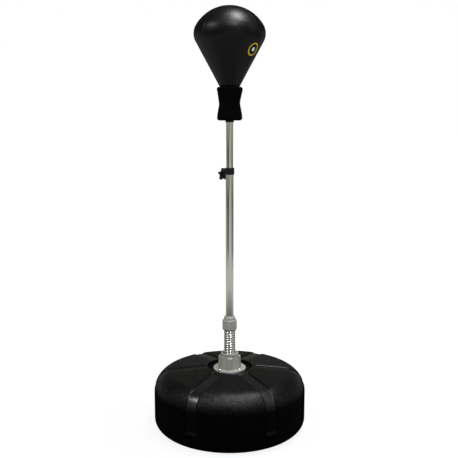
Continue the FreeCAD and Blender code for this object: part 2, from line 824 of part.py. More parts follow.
glide_seat = "upper_tube_bottom_z - %g" % FACE_GAP
bore = "upper_tube_radius - tube_wall"
keep(turned_part("tube_glide", [
    ("0", "upper_tube_bottom_z - 4"),
    ("lower_tube_radius - tube_wall - 0.8", "upper_tube_bottom_z - 4"),
    ("lower_tube_radius - tube_wall - %g" % RUNNING_FIT, "upper_tube_bottom_z - 3"),
    ("lower_tube_radius - tube_wall - %g" % RUNNING_FIT, glide_seat),
    (bore + " - %g" % RUNNING_FIT, glide_seat),
    (bore + " - %g" % RUNNING_FIT, "upper_tube_bottom_z + 24"),
    (bore + " - 1.5", "upper_tube_bottom_z + 26"),
    ("0", "upper_tube_bottom_z + 26"),
]))
keep(tube("upper_tube", "upper_tube_radius", "upper_tube_bottom_z", "upper_tube_top_z"))
keep(turned_part("tube_top_plug", [
    ("bolt_radius + 0.05", "upper_tube_top_z - 28"),
    (bore + " - 0.02", "upper_tube_top_z - 28"),
    (bore + " - 0.02", "upper_tube_top_z + 0.02"),
    ("upper_tube_radius", "upper_tube_top_z + 0.02"),
    ("upper_tube_radius", "upper_tube_top_z + 3"),
    ("bolt_radius + 0.05", "upper_tube_top_z + 3"),
]))

head_z = "ball_bottom_z + cover_thickness + 0.3"
keep(turned_part("ball_stem", [
    ("upper_tube_radius + 0.1", "stem_bottom_z"),
    ("stem_radius - 3", "stem_bottom_z"),
    ("stem_radius - 3", "sleeve_bottom_z - 1"),
    ("stem_radius", "sleeve_bottom_z + 2"),
    ("stem_radius", head_z),
    ("stem_head_radius", head_z),
    ("stem_head_radius", head_z + " + 4"),
    ("stem_head_radius - 4", head_z + " + 8", "4"),
    ("9", head_z + " + 8"),
    ("9", "upper_tube_top_z + 20"),
    ("bolt_radius + 0.1", "upper_tube_top_z + 20"),
    ("bolt_radius + 0.1", "upper_tube_top_z + 3.1"),
    ("upper_tube_radius + 0.1", "upper_tube_top_z + 3.1"),
]))
keep(turned_part("stem_screw", [
    ("0", "upper_tube_top_z - 22"),
    ("bolt_radius - 1", "upper_tube_top_z - 22"),
    ("bolt_radius", "upper_tube_top_z - 21"),
    ("bolt_radius", "upper_tube_top_z + 20.05"),
    ("6.5", "upper_tube_top_z + 20.05"),
    ("6.5", "upper_tube_top_z + 27"),
    ("5.5", "upper_tube_top_z + 28"),
    ("2.9", "upper_tube_top_z + 28"),
    ("2.9", "upper_tube_top_z + 23"),
    ("0", "upper_tube_top_z + 23"),
]))

keep(turned_part("neck_sleeve", [
    ("stem_radius + 0.1", "sleeve_bottom_z + 2.5"),
    ("stem_radius + 1", "sleeve_bottom_z"),
    ("sleeve_low_radius - 6", "sleeve_bottom_z"),
    ("sleeve_low_radius", "sleeve_bottom_z + 7", "7"),
    ("sleeve_low_radius - 0.4", "sleeve_bottom_z + 20"),
    ("sleeve_waist_radius", "sleeve_waist_z", "-180"),
    ("sleeve_top_radius", "sleeve_top_z - 8", "-120"),
    ("sleeve_top_radius - 7", "sleeve_top_z", "8"),
    ("stem_radius + 0.1", "sleeve_top_z"),
]))


# ---- Ball --------------------------------------------------------------------------------------

def ball_outline(inset):
    """Crown arc, side arc and straight cone of the teardrop, drawn in by an inset. Points run
    from the top of the crown down to the neck."""
    flat = "(%s)" % inset
    crown_z = "(ball_top_z - ball_crown_radius)"
    side_x = "(ball_radius - ball_side_radius)"
    reach = "(ball_crown_radius - ball_side_radius)"
    crown_reach = "(ball_crown_radius - %s)" % flat
    side_reach = "(ball_side_radius - %s)" % flat
    rise = "sqrt(%s * %s - %s * %s)" % (reach, reach, side_x, side_x)
    side_z = "(%s + %s)" % (crown_z, rise)
    cone_x = "(%s + %s * cos(ball_half_angle))" % (side_x, side_reach)
    cone_z = "(%s - %s * sin(ball_half_angle))" % (side_z, side_reach)
    return {
        "top": ("0", "ball_top_z - " + flat),
        "join": ("%s * %s / %s" % (crown_reach, side_x, reach),
                 "%s + %s * %s / %s" % (crown_z, crown_reach, rise, reach)),
        "cone": (cone_x, cone_z),
        "cone_at": lambda z: "%s - (%s - (%s)) * tan(ball_half_angle)" % (cone_x, cone_z, z),
        "crown": crown_reach,
        "side": side_reach,
    }


def ball_shell(label, outer_inset, thickness, bottom, inner_bottom, hole):
    """One closed layer of the ball, open at the neck where the hole has a radius."""
    outer = ball_outline(outer_inset)
    inner = ball_outline("%s + %s" % (outer_inset, thickness))
    points = [
        (hole, bottom),
        (outer["cone_at"](bottom), bottom),
        outer["cone"],
        outer["join"] + (outer["side"],),
        outer["top"] + (outer["crown"],),
        inner["top"],
        inner["join"] + ("-" + inner["crown"],),
        inner["cone"] + ("-" + inner["side"],),
        (inner["cone_at"](inner_bottom), inner_bottom),
        (hole, inner_bottom),
    ]
    return turned_part(label, points)


VALVE_Z = "ball_widest_z"
ALONG_Y = FreeCAD.Vector(0, 1, 0)


def valve_cylinder(name, radius, start, end):
    return cylinder(name, radius, "(%s) - (%s)" % (end, start), ("0", start, VALVE_Z), ALONG_Y)


cover_bottom = "ball_bottom_z"
cover_floor = "ball_bottom_z + cover_thickness"
bladder_gap = "cover_thickness + 0.3"
bladder_bottom = head_z + " + 10"
keep(cut("ball_cover",
         ball_shell("cover_sewn", "0", "cover_thickness", cover_bottom, cover_floor, "stem_radius + 0.2"),
         [valve_cylinder("cover_valve_hole", "valve_radius + 0.2", "60", "140")]))
keep(cut("ball_bladder",
         ball_shell("bladder_blown", bladder_gap, "bladder_thickness", bladder_bottom,
                    bladder_bottom + " + bladder_thickness", "0"),
         [valve_cylinder("bladder_valve_hole", "valve_radius - 1.4", "60", "140")]))
keep(fuse("bladder_valve", [
    valve_cylinder("valve_face", "valve_radius", "ball_radius - %s + 0.1" % bladder_gap, "ball_radius"),
    valve_cylinder("valve_neck", "valve_radius - 1.5", "ball_radius - 12", "ball_radius - 1"),
]))


# ---- Check and write ---------------------------------------------------------------------------

doc.recompute()
for item in doc.Objects:
    if "Invalid" in item.State or "Error" in item.State:
        raise RuntimeError("%s failed: %s" % (item.Label, item.getStatusString()))
for part in nodes:
    if part.Shape.isNull() or not part.Shape.isValid():
        raise RuntimeError("%s has no valid shape" % part.Label)

os.makedirs("parts", exist_ok=True)
for part in nodes:
    part.Shape.exportStep(os.path.join("parts", part.Label + ".step"))
    print("%-20s %2d solid(s) %12.1f mm3" % (part.Label, len(part.Shape.Solids), part.Shape.Volume))
print("%d nodes" % len(nodes))
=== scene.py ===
import math

import bpy
import mathutils
import numpy as np
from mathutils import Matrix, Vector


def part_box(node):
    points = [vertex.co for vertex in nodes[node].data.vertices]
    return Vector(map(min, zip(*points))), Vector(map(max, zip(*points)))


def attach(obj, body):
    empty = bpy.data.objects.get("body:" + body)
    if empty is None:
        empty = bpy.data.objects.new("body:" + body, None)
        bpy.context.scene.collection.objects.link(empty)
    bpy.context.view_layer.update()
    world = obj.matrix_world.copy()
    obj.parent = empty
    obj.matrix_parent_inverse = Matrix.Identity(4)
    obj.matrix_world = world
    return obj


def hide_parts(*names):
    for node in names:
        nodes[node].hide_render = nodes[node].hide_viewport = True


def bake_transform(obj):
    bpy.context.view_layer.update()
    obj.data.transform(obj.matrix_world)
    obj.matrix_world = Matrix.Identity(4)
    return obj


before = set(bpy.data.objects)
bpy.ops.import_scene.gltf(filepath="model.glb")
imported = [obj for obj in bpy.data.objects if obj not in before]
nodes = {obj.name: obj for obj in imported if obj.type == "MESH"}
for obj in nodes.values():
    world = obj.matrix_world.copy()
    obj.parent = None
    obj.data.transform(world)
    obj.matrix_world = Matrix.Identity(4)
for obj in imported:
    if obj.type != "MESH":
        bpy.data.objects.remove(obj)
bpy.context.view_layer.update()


# ---- Base tank ---------------------------------------------------------------------------------
# A round hollow tank, blow-moulded in black polyethylene with a pebbled skin. Six shallow
# channels stiffen it, and a raised rim rings the well that the spring socket is screwed into.

def rounded(corners, steps=8):
    """A profile of straight sides between (across, up, rounding) corners. Each corner with a
    rounding is replaced by the arc that is tangent to both its sides: its ends are
    rounding * tan(turn / 2) from the corner, and its points are spaced evenly in angle."""
    points = [np.array([[c[0], c[1]]]) for c in corners]
    for index in range(1, len(corners) - 1):
        corner, rounding = np.array(corners[index][:2]), corners[index][2]
        if rounding == 0:
            continue
        back = np.array(corners[index - 1][:2]) - corner
        ahead = np.array(corners[index + 1][:2]) - corner
        back, ahead = back / np.linalg.norm(back), ahead / np.linalg.norm(ahead)
        half = math.acos(float(np.clip(back @ ahead, -1, 1))) / 2
        centre = corner + (back + ahead) / np.linalg.norm(back + ahead) * rounding / math.sin(half)
        first = corner + back * rounding / math.tan(half) - centre
        last = corner + ahead * rounding / math.tan(half) - centre
        start = math.atan2(first[1], first[0])
        turn = (math.atan2(last[1], last[0]) - start + math.pi) % (2 * math.pi) - math.pi
        angles = start + turn * np.linspace(0, 1, steps + 1)
        points[index] = centre + rounding * np.stack([np.cos(angles), np.sin(angles)], axis=-1)
    return np.concatenate(points)


def finely(profile, step):
    """The same profile with every side longer than a step divided evenly."""
    runs = []
    for start, stop in zip(profile[:-1], profile[1:]):
        count = max(1, math.ceil(np.linalg.norm(stop - start) / step))
        runs.append(start + (stop - start) * np.arange(count)[:, None] / count)
    return np.concatenate(runs + [profile[-1:]])


def skin(name, rows, start=None, end=None, loop=False):
    """A closed-round mesh from a grid of points: each row is a ring whose last point joins its
    first, neighbouring rows are joined by quads, and start and end are poles closed by fans.
    A loop joins its last row to its first instead."""
    count, around = rows.shape[:2]
    points = rows.reshape(-1, 3)
    bands = count if loop else count - 1
    ring, step = np.meshgrid(np.arange(bands), np.arange(around), indexing="ij")
    beside, above = (step + 1) % around, (ring + 1) % count
    quads = [ring * around + step, ring * around + beside,
             above * around + beside, above * around + step]
    faces = np.stack(quads, axis=-1).reshape(-1, 4).tolist()
    here, after = np.arange(around), (np.arange(around) + 1) % around
    for pole, first, flip in ((start, 0, True), (end, (count - 1) * around, False)):
        if pole is None:
            continue
        tip = np.full(around, len(points))
        points = np.vstack([points, pole])
        low, high = first + here, first + after
        fan = [tip, high, low] if flip else [low, high, tip]
        faces += np.stack(fan, axis=-1).tolist()
    mesh = bpy.data.meshes.new(name)
    mesh.from_pydata(points.tolist(), [], faces)
    mesh.update()
    mesh.shade_smooth()
    piece = bpy.data.objects.new(name, mesh)
    bpy.context.scene.collection.objects.link(piece)
    return piece


def lathe(name, profile, around=96):
    """A turned piece about Z: the profile's (radius, height) points carried round a circle. Ends
    that lie on the axis become poles, and a profile that keeps off the axis closes on itself."""
    angles = np.linspace(0, 2 * math.pi, around, endpoint=False)
    poles = [None, None]
    if profile[0][0] < 1e-6:
        poles[0] = (0, 0, profile[0][1])
        profile = profile[1:]
    if profile[-1][0] < 1e-6:
        poles[1] = (0, 0, profile[-1][1])
        profile = profile[:-1]
    radius, height = profile[:, :1], profile[:, 1:]
    rows = np.stack([radius * np.cos(angles), radius * np.sin(angles),
                     height + 0 * angles], axis=-1)
    return skin(name, rows, poles[0], poles[1], loop=(poles == [None, None]))


def smooth_step(value):
    """0 below 0, 1 above 1, and 3v^2 - 2v^3 between."""
    value = np.clip(value, 0, 1)
    return value * value * (3 - 2 * value)


BASE_RADIUS = 0.240
FOOT_ROUNDING = 0.032
SHOULDER_ROUNDING = 0.062
PANEL_SLOPE = math.radians(5.7)
SHOULDER_CORNER = 0.174
RIM_OUTER, RIM_INNER = 0.0768, 0.0713
WELL_FLOOR = 0.183
CHANNEL_COUNT = 6
CHANNEL_FLOOR, CHANNEL_MOUTH, CHANNEL_DEPTH = 0.032, 0.041, 0.0032
CHANNEL_START, CHANNEL_END = 0.0795, 0.054
FILLER_CENTRE = (0.0, 0.150)
FILLER_RECESS, FILLER_SEAT = 0.027, 0.172
FILLER_MOUTH, FILLER_DEPTH = 0.016, 0.024


def base_profile():
    """The tank's outline from the middle of its underside, round the foot and shoulder, over the
    sloping panel and the rim, to the middle of the well."""
    rim_foot = SHOULDER_CORNER + (BASE_RADIUS - RIM_OUTER) * math.tan(PANEL_SLOPE)
    rim_top = rim_foot + 0.002
    corners = [
        (0, 0.005, 0),
        (0.150, 0.005, 0.0015),
        (0.150, 0.0, 0.0015),
        (BASE_RADIUS, 0.0, FOOT_ROUNDING),
        (BASE_RADIUS, SHOULDER_CORNER, SHOULDER_ROUNDING),
        (RIM_OUTER, rim_foot, 0.0015),
        (RIM_OUTER - 0.0006, rim_top, 0.0012),
        (RIM_INNER, rim_top, 0.0018),
        (RIM_INNER, WELL_FLOOR, 0.0015),
        (0, WELL_FLOOR, 0),
    ]
    return finely(rounded(corners, 16), 0.0045)


def sector_angles(radius):
    """Angles of the mesh's columns for rings of the given radii. Near each channel they hold a
    constant distance from its centre line, y = r sin(angle), so its edges run straight; the rest
    of the sixth of a turn is divided evenly."""
    half_floor, half_mouth = CHANNEL_FLOOR / 2, CHANNEL_MOUTH / 2
    beside = np.concatenate([np.linspace(0, half_floor - 0.003, 4),
                             np.linspace(half_floor - 0.001, half_mouth + 0.002, 13)])
    near = np.arcsin(beside / radius)
    edge = near[:, -1:]
    rest = edge + (math.pi / CHANNEL_COUNT - edge) * np.linspace(0, 1, 17)[1:]
    right = np.concatenate([near, rest], axis=1)
    sector = np.concatenate([-right[:, :0:-1], right[:, :-1]], axis=1)
    turns = np.arange(CHANNEL_COUNT) * 2 * math.pi / CHANNEL_COUNT
    return (turns[None, :, None] + sector[:, None, :]).reshape(len(radius), -1)


def base_surface():
    """Every profile point carried round the columns, then sunk along the profile's normal by the
    channel's depth. The depth is full across the channel's floor and falls to nothing at its
    mouth, at the rim and low on the wall as a smooth step."""
    profile = base_profile()
    radius, height = profile[1:-1, :1], profile[1:-1, 1:]
    angles = sector_angles(np.maximum(radius, CHANNEL_START))
    sixth = 2 * math.pi / CHANNEL_COUNT
    offset = (angles + sixth / 2) % sixth - sixth / 2
    beside = np.abs(np.maximum(radius, CHANNEL_START) * np.sin(offset))
    half_floor, half_mouth = CHANNEL_FLOOR / 2, CHANNEL_MOUTH / 2
    across = 1 - smooth_step((beside - half_floor) / (half_mouth - half_floor))
    along = np.gradient(profile, axis=0)[1:-1]
    along /= np.linalg.norm(along, axis=1, keepdims=True)
    normal = np.stack([along[:, 1], -along[:, 0]], axis=-1)
    begins = smooth_step((radius[:, 0] - CHANNEL_START) / 0.0035)
    ends = smooth_step((height[:, 0] - CHANNEL_END) / 0.006)
    depth = (CHANNEL_DEPTH * begins * ends)[:, None] * across
    sunk_radius = radius - normal[:, :1] * depth
    sunk_height = height - normal[:, 1:] * depth
    rows = np.stack([sunk_radius * np.cos(angles), sunk_radius * np.sin(angles), sunk_height],
                    axis=-1)
    tank = skin("base_tank", rows, (0, 0, profile[0][1]), (0, 0, profile[-1][1]))
    sunk = depth / CHANNEL_DEPTH
    rim = np.exp(-((radius - RIM_INNER - 0.003) / 0.0035) ** 2) * (height > WELL_FLOOR)
    # The edge mask peaks on the channels' sloping sides, where the material cuts the reflection to paint
    # shade.
    for name, share in (("polished", np.maximum(sunk, rim)), ("edge", 4 * sunk * (1 - sunk))):
        mask = tank.data.attributes.new(name, "FLOAT", "POINT")
        mask.data.foreach_set("value", np.append(share.reshape(-1), [0, 0]))
    return tank


def cut_away(piece, cutter):
    """Takes the cutter's volume out of a piece and keeps only the result."""
    modifier = piece.modifiers.new("cut", "BOOLEAN")
    modifier.operation = "DIFFERENCE"
    modifier.solver = "EXACT"
    modifier.object = cutter
    evaluated = piece.evaluated_get(bpy.context.evaluated_depsgraph_get())
    mesh = bpy.data.meshes.new_from_object(evaluated)
    piece.modifiers.clear()
    piece.data = mesh
    bpy.data.objects.remove(cutter)


base_tank = base_surface()
filler_cutter = lathe("filler_cutter", rounded([
    (0, FILLER_SEAT - FILLER_DEPTH, 0),
    (FILLER_MOUTH, FILLER_SEAT - FILLER_DEPTH, 0),
    (FILLER_MOUTH, FILLER_SEAT, 0.0008),
    (FILLER_RECESS, FILLER_SEAT, 0.0015),
    (FILLER_RECESS, 0.215, 0),
    (0, 0.215, 0),
], 4), 72)
filler_cutter.data.transform(mathutils.Matrix.Translation((*FILLER_CENTRE, 0)))
cut_away(base_tank, filler_cutter)
base_tank.data.set_sharp_from_angle(angle=math.radians(50))


def node_group(name, inputs, outputs):
    """An empty shader node group with number inputs {name: default} and {name: kind} outputs."""
    group = bpy.data.node_groups.new(name, "ShaderNodeTree")
    for label, value in inputs.items():
        socket = group.interface.new_socket(label, in_out="INPUT", socket_type="NodeSocketFloat")
        socket.default_value = value
    for label, kind in outputs.items():
        group.interface.new_socket(label, in_out="OUTPUT", socket_type="NodeSocket" + kind)
    return group, group.nodes.new("NodeGroupInput"), group.nodes.new("NodeGroupOutput")


def feed(tree, socket, value):
    """Puts a value on a node's input, or links another node's output to it."""
    if isinstance(value, bpy.types.NodeSocket):
        tree.links.new(value, socket)
    else:
        socket.default_value = value


def place(tree, kind, settings=None, **inputs):
    """One node with its settings and inputs; an input is a value or another node's output."""
    node = tree.nodes.new("ShaderNode" + kind)
    for label, value in (settings or {}).items():
        setattr(node, label, value)
    for label, value in inputs.items():
        feed(tree, node.inputs[label.replace("_", " ")], value)
    return node


def math_node(tree, operation, first, second):
    """First and second joined by one sum, product or other operation."""
    node = place(tree, "Math", {"operation": operation})
    for socket, value in zip(node.inputs, (first, second)):
        feed(tree, socket, value)
    return node.outputs[0]


def make_grain():
    """Moulded grain: pebbles from Voronoi cells, softened by noise. Height is the relief, Patch a
    slow mottling, both 0 to 1. Size is the pebble's width in metres."""
    group, given, result = node_group("moulded_grain", {"Size": 0.001},
                                      {"Height": "Float", "Patch": "Float"})
    where = place(group, "TexCoord").outputs["Object"]
    density = math_node(group, "DIVIDE", 1.0, given.outputs["Size"])
    pebbles = place(group, "TexVoronoi", {"feature": "SMOOTH_F1"}, Vector=where, Scale=density,
                    Smoothness=0.6)
    coarse = math_node(group, "DIVIDE", density, 6.0)
    patches = place(group, "TexNoise", Vector=where, Scale=coarse, Detail=4.0, Roughness=0.6)
    height = math_node(group, "SUBTRACT", 1.0, pebbles.outputs["Distance"])
    group.links.new(height, result.inputs["Height"])
    group.links.new(patches.outputs["Fac"], result.inputs["Patch"])
    return group


GRAIN = make_grain()


def use_group(tree, group, **inputs):
    """The outputs of a shared node group, with its inputs set or linked."""
    return place(tree, "Group", {"node_tree": group}, **inputs).outputs


def material(name, colour, roughness, **sockets):
    """A material with one Principled shader whose constant values sit on its own sockets."""
    made = bpy.data.materials.new(name)
    made.use_nodes = True
    shader = made.node_tree.nodes["Principled BSDF"]
    shader.inputs["Base Color"].default_value = (*colour, 1)
    shader.inputs["Roughness"].default_value = roughness
    for label, value in sockets.items():
        shader.inputs[label.replace("_", " ")].default_value = value
    made.diffuse_color = (*colour, 1)
    return made, made.node_tree, shader


def relief(tree, shader, height, distance):
    """Raises the surface by a height pattern, in metres at full height."""
    bump = place(tree, "Bump", Height=height, Distance=distance, Strength=1.0)
    tree.links.new(bump.outputs["Normal"], shader.inputs["Normal"])


def between(tree, mask, low, high):
    """A number that goes from low to high as the mask goes from 0 to 1."""
    node = place(tree, "MapRange", Value=mask, To_Min=low, To_Max=high)
    return node.outputs["Result"]


def blend_colour(tree, mask, first, second):
    """A colour that goes from first to second as the mask goes from 0 to 1. Each is a colour or
    another node's output."""
    node = place(tree, "Mix", {"data_type": "RGBA"}, Factor=mask)
    for socket, colour in ((node.inputs[6], first), (node.inputs[7], second)):
        feed(tree, socket, colour if isinstance(colour, bpy.types.NodeSocket) else (*colour, 1))
    return node.outputs[2]


def mottling(tree, grain):
    """The grain's slow patches spread out to fill 0 to 1."""
    spread = place(tree, "MapRange", Value=grain["Patch"], From_Min=0.35, From_Max=0.7)
    return spread.outputs["Result"]


def wear(piece, made):
    """Gives a piece its one material."""
    piece.data.materials.clear()
    piece.data.materials.append(made)


def moulded_plastic(name, colour, light, roughness, size, depth, specular):
    """Pebbled plastic: the grain's slow patches vary its colour and roughness, and its pebbles
    raise the surface."""
    made, tree, shader = material(name, colour, roughness, Specular_IOR_Level=specular)
    grain = use_group(tree, GRAIN, Size=size)
    tint = blend_colour(tree, mottling(tree, grain), colour, light)
    tree.links.new(tint, shader.inputs["Base Color"])
    rough = between(tree, grain["Patch"], roughness - 0.08, roughness + 0.08)
    tree.links.new(rough, shader.inputs["Roughness"])
    relief(tree, shader, grain["Height"], depth)
    return made


def make_soft_edge():
    """The reflection of a matt black surface. It fades out towards the silhouette, where real
    coatings scatter it away: Level is the strength seen square on."""
    group, given, result = node_group("soft_edge", {"Level": 0.2}, {"Specular": "Float"})
    facing = place(group, "LayerWeight", Blend=0.5).outputs["Facing"]
    kept = place(group, "MapRange", Value=facing, From_Min=0.3, From_Max=0.8,
                 To_Min=1.0, To_Max=0.02).outputs["Result"]
    faded = math_node(group, "MULTIPLY", kept, given.outputs["Level"])
    group.links.new(faded, result.inputs["Specular"])
    return group


SOFT_EDGE = make_soft_edge()


def soften(tree, shader, level):
    """Gives a shader the fading reflection; the level is a number or another node's output."""
    faded = use_group(tree, SOFT_EDGE, Level=level)["Specular"]
    tree.links.new(faded, shader.inputs["Specular IOR Level"])


# The tank's skin: pebbles a couple of millimetres wide over a slow orange-peel waviness, both
# of which fade out on the channel floors and the rim, which are smooth and shine more. The
# channels' sloping sides are given painted shade, their reflection cut to a tenth, and so is the
# upright wall, whose reflection falls to a tenth as its surface turns from facing up.
black_moulding, tree, shader = material("pebbled_black_polyethylene", (0.0015, 0.0015, 0.0016), 0.42)
grain = use_group(tree, GRAIN, Size=0.0012)
polished = place(tree, "Attribute", {"attribute_name": "polished"}).outputs["Fac"]
# edge: the channels' sloping sides, where the reflection is cut below as painted shade.
edge = place(tree, "Attribute", {"attribute_name": "edge"}).outputs["Fac"]
pebbled = math_node(tree, "SUBTRACT", 1.0, polished)
where = place(tree, "TexCoord").outputs["Object"]
peel = place(tree, "TexNoise", Vector=where, Scale=130.0, Detail=3.0, Roughness=0.65)
bumps = math_node(tree, "ADD", math_node(tree, "MULTIPLY", grain["Height"], 0.4), peel.outputs["Fac"])
relief(tree, shader, math_node(tree, "MULTIPLY", bumps, pebbled), 0.0008)
specks = mottling(tree, grain)
panels = blend_colour(tree, specks, (0.0006, 0.0006, 0.0007), (0.0013, 0.0013, 0.0014))
tree.links.new(panels, shader.inputs["Base Color"])
tree.links.new(between(tree, polished, 0.36, 0.27), shader.inputs["Roughness"])
speckled = math_node(tree, "MULTIPLY", pebbled, between(tree, specks, 0.14, 0.3))
shine = math_node(tree, "ADD", speckled, math_node(tree, "MULTIPLY", polished, 0.6))
# Painted shade: surfaces that turn from facing up, the upright wall and the channels' sides, keep as
# little as a tenth of their reflection.
lies = place(tree, "SeparateXYZ", Vector=place(tree, "NewGeometry").outputs["Normal"]).outputs["Z"]
upward = place(tree, "MapRange", Value=lies, From_Min=0.1, From_Max=0.6,
               To_Min=0.1, To_Max=1.0).outputs["Result"]
# Painted shade in the channels: their sloping sides keep a tenth of the reflection.
shadowed = math_node(tree, "MULTIPLY", shine, between(tree, edge, 1.0, 0.1))
soften(tree, shader, math_node(tree, "MULTIPLY", shadowed, upward))
wear(base_tank, black_moulding)
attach(base_tank, "base")
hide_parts("base_shell")


# ---- Sand and inserts --------------------------------------------------------------------------
# Dry sand poured in through the filler, and four knurled brass inserts moulded into the well
# floor for the socket's screws. None of them shows.

sand_grains = moulded_plastic("dry_sand", (0.55, 0.46, 0.32), (0.78, 0.69, 0.5),
                              0.9, 0.0012, 0.0004, 0.2)
wear(nodes["sand_ballast"], sand_grains)


def drawn_metal(name, colour, light, roughness, size):
    """Bare metal: fine noise drawn out along Z varies its tint and roughness."""
    made, tree, shader = material(name, colour, roughness, Metallic=1.0)
    where = place(tree, "TexCoord").outputs["Object"]
    drawn = place(tree, "Mapping", Vector=where, Scale=(1, 1, 0.08))
    noise = place(tree, "TexNoise", Vector=drawn.outputs["Vector"], Scale=1 / size, Detail=3.0)
    streaks = noise.outputs["Fac"]
    tree.links.new(blend_colour(tree, streaks, colour, light), shader.inputs["Base Color"])
    rough = between(tree, streaks, roughness - 0.04, roughness + 0.05)
    tree.links.new(rough, shader.inputs["Roughness"])
    return made


turned_brass = drawn_metal("turned_brass", (0.62, 0.45, 0.17), (0.82, 0.64, 0.30), 0.32, 0.002)
for insert in ("base_inserts", "clamp_nut"):
    wear(nodes[insert], turned_brass)


# ---- Filler cap --------------------------------------------------------------------------------
# A screw cap in black nylon with a bar across it to turn it by, closing the filler at the rear of
# the top panel on a flat rubber seal.

black_nylon = moulded_plastic("black_nylon", (0.0025, 0.0025, 0.0026), (0.0045, 0.0045, 0.0047),
                              0.42, 0.0009, 0.00006, 0.25)
black_rubber = moulded_plastic("black_rubber", (0.012, 0.012, 0.012), (0.02, 0.02, 0.02),
                               0.8, 0.0011, 0.00005, 0.3)
wear(nodes["filler_cap"], black_nylon)
wear(nodes["filler_gasket"], black_rubber)


# ---- Spring socket -----------------------------------------------------------------------------
# A flanged cup in grey glass-filled nylon with a rolled lip, a twelve-sided wall and four gusset
# ribs. Four pan-head screws hold its flange down in the well.

grey_nylon = moulded_plastic("grey_nylon", (0.205, 0.207, 0.187), (0.255, 0.258, 0.236),
                             0.45, 0.0016, 0.00012, 0.4)
zinc_plate = drawn_metal("zinc_plate", (0.74, 0.75, 0.77), (0.93, 0.93, 0.94), 0.24, 0.0012)
wear(nodes["spring_socket"], grey_nylon)
for fastener in ("socket_screws", "socket_washers", "lower_spring_plug", "anchor_bolt", "anchor_washer",
                 "upper_spring_plug", "tube_pin", "knob_stud", "stem_screw"):
    wear(nodes[fastener], zinc_plate)


# ---- Sway spring -------------------------------------------------------------------------------
# A close-wound coil of heavy chromed wire. It bends between the socket and the coupling; its
# mesh is two halves that meet at the middle of its free length.

SPRING_RADIUS, WIRE_RADIUS, SPRING_PITCH = 0.0185, 0.0035, 0.0075
RINGS_A_TURN, POINTS_A_RING = 56, 18
SPRING_LOW, SPRING_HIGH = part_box("sway_spring")[0][2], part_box("sway_spring")[1][2]
SOCKET_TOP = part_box("spring_socket")[1][2]
COUPLING_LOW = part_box("spring_coupling")[0][2]


def coil(name, low, high):
    """Wire round a helix: the centre line is (R cos t, R sin t, z + pitch t / 2 pi), and each
    ring is a circle in the plane square to the helix's tangent."""
    mean = SPRING_RADIUS - WIRE_RADIUS
    first = SPRING_LOW + WIRE_RADIUS
    rise = SPRING_PITCH / (2 * math.pi)
    turns = np.linspace((low - first) / rise, (high - first) / rise,
                        int((high - low) / SPRING_PITCH * RINGS_A_TURN))
    middle = np.stack([mean * np.cos(turns), mean * np.sin(turns), first + rise * turns], axis=-1)
    outward = np.stack([np.cos(turns), np.sin(turns), 0 * turns], axis=-1)
    tangent = np.stack([-mean * np.sin(turns), mean * np.cos(turns), rise + 0 * turns], axis=-1)
    tangent /= np.linalg.norm(tangent, axis=1, keepdims=True)
    upward = np.cross(tangent, outward)
    rim = np.linspace(0, 2 * math.pi, POINTS_A_RING, endpoint=False)
    rows = (middle[:, None, :] + WIRE_RADIUS * (np.cos(rim)[None, :, None] * outward[:, None, :]
                                               + np.sin(rim)[None, :, None] * upward[:, None, :]))
    return skin(name, rows, tuple(middle[0]), tuple(middle[-1]))


middle_of_coil = (SOCKET_TOP + COUPLING_LOW) / 2
spring_chrome = drawn_metal("spring_chrome", (0.80, 0.80, 0.79), (0.92, 0.92, 0.91), 0.12, 0.002)
for half, low, high, lower, upper, start, stop in (
        ("spring_lower_half", SPRING_LOW + WIRE_RADIUS, middle_of_coil, "base", "spring",
         SOCKET_TOP - 0.004, middle_of_coil),
        ("spring_upper_half", middle_of_coil, SPRING_HIGH - WIRE_RADIUS, "spring", "lower_mast",
         middle_of_coil, COUPLING_LOW + 0.004)):
    half_coil = coil(half, low, high)
    wear(half_coil, spring_chrome)
    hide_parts("sway_spring")
    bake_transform(half_coil)


# ---- Coupling ----------------------------------------------------------------------------------
# A stepped grey nylon cup, moulded in one with its neck, pushed down over the spring's top coils.

COUPLING_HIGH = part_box("spring_coupling")[1][2]
coupling_cup = lathe("coupling_cup", rounded([
    (0.0189, COUPLING_HIGH - 0.014, 0),
    (0.0189, COUPLING_LOW, 0.0002),
    (0.0200, COUPLING_LOW, 0.0003),
    (0.0229, COUPLING_LOW + 0.0045, 0.003),
    (0.0229, COUPLING_HIGH - 0.013, 0.0014),
    (0.0186, COUPLING_HIGH - 0.0118, 0.0008),
    (0.0182, COUPLING_HIGH - 0.005, 0.0022),
    (0.0150, COUPLING_HIGH, 0.0016),
    (0.0126, COUPLING_HIGH, 0.0004),
    (0.0126, COUPLING_HIGH - 0.014, 0),
], 6), 96)
wear(coupling_cup, grey_nylon)
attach(coupling_cup, "lower_mast")
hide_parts("spring_coupling")


# ---- Mast tubes --------------------------------------------------------------------------------
# Two chromed steel tubes that slide one in the other. The chrome is bright, with faint lines
# drawn along the tube.

tube_chrome = drawn_metal("tube_chrome", (0.61, 0.60, 0.53), (0.71, 0.70, 0.63), 0.12, 0.0015)


def bright_tube(name, node, body, wall, edge):
    """A tube with its outer and inner walls and small rounded ends."""
    low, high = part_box(node)
    radius = (high[0] - low[0]) / 2
    tube = lathe(name, rounded([
        (radius - wall, low[2] + 0.002, 0),
        (radius - wall, low[2], edge),
        (radius, low[2], edge),
        (radius, high[2], edge),
        (radius - wall, high[2], edge),
        (radius - wall, high[2] - 0.002, 0),
    ], 3), 96)
    wear(tube, tube_chrome)
    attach(tube, body)
    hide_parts(node)


bright_tube("lower_mast_tube", "lower_tube", "lower_mast", 0.0012, 0.0003)
bright_tube("upper_mast_tube", "upper_tube", "upper_mast", 0.0012, 0.0003)


# ---- Clamp -------------------------------------------------------------------------------------
# A black nylon collar pressed on the lower tube, with a boss for the clamp screw. Its five-lobed
# knob turns the stud against a pad on the inner tube.

